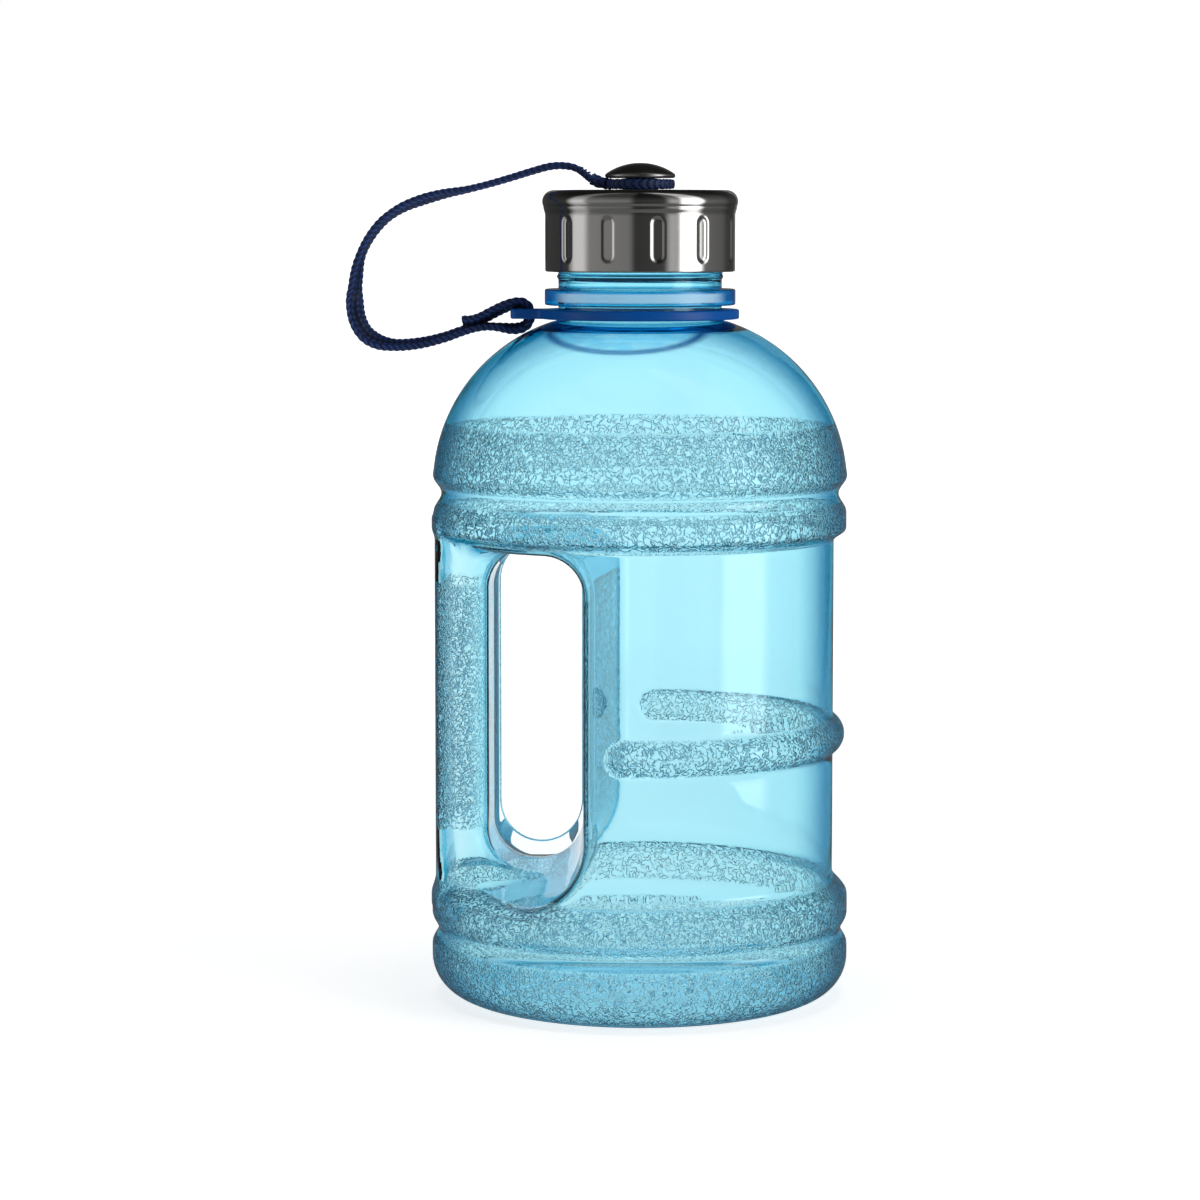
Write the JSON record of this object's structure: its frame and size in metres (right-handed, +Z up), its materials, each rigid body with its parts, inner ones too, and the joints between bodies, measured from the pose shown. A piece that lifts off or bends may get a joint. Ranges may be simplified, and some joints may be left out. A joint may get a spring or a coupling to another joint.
{
  "type": "water jug",
  "caption": "Clear blow-moulded jug with a grip moulded into its side, a steel-shelled screw cap, and a strap from the cap's knob to a collar on the neck.",
  "frame": {"origin": "centre of the foot ring, on the plane that the jug stands on", "axes": "+Z up along the neck's axis, -X towards the grip, -Y towards the viewer"},
  "size_m": [0.1553, 0.13, 0.2592],
  "materials": {
    "clear_blue_plastic": "transparent aqua blue, polished, with an orange-peel emboss on the bands, rib and grip",
    "collar_plastic": "royal blue moulded plastic, satin",
    "cap_steel": "polished stainless steel",
    "liner_plastic": "moulded blue plastic",
    "gasket_rubber": "translucent white silicone",
    "screw_steel": "plain stainless steel",
    "knob_steel": "polished stainless steel",
    "bush_plastic": "translucent blue plastic",
    "strap_braid": "navy braided polyester",
    "strap_thread": "navy sewing thread"
  },
  "bodies": {
    "jug": {"jug_body": "clear_blue_plastic"},
    "collar": {"neck_collar": "collar_plastic", "strap_lower": "strap_braid", "collar_stitching": "strap_thread"},
    "strap_top": {"strap_upper": "strap_braid", "eye_stitching": "strap_thread"},
    "bush": {"knob_bush": "bush_plastic"},
    "cap": {"cap_shell": "cap_steel", "cap_liner": "liner_plastic", "cap_gasket": "gasket_rubber", "cap_washer": "screw_steel", "cap_screw": "screw_steel", "cap_knob": "knob_steel"}
  },
  "joints": [
    {"name": "strap_swivel", "type": "hinge", "parent": "jug", "child": "collar", "pos_m": [0, 0, 0.2125], "axis": [0, 0, 1], "continuous": true},
    {"name": "eye_lift", "type": "slide", "parent": "collar", "child": "strap_top", "axis": [0, 0, 1], "range_m": [0, 0.0232]},
    {"name": "cap_lift", "type": "slide", "parent": "jug", "child": "bush", "axis": [0, 0, 1], "range_m": [0, 0.0232]},
    {"name": "cap_turn", "type": "hinge", "parent": "bush", "child": "cap", "pos_m": [0, 0, 0.238], "axis": [0, 0, 1], "range_deg": [0, 1980]}
  ],
  "couplings": [
    {"joint": "cap_lift", "follows": "cap_turn", "m_per_rad": 0.00066845},
    {"joint": "eye_lift", "follows": "cap_turn", "m_per_rad": 0.00066845}
  ]
}
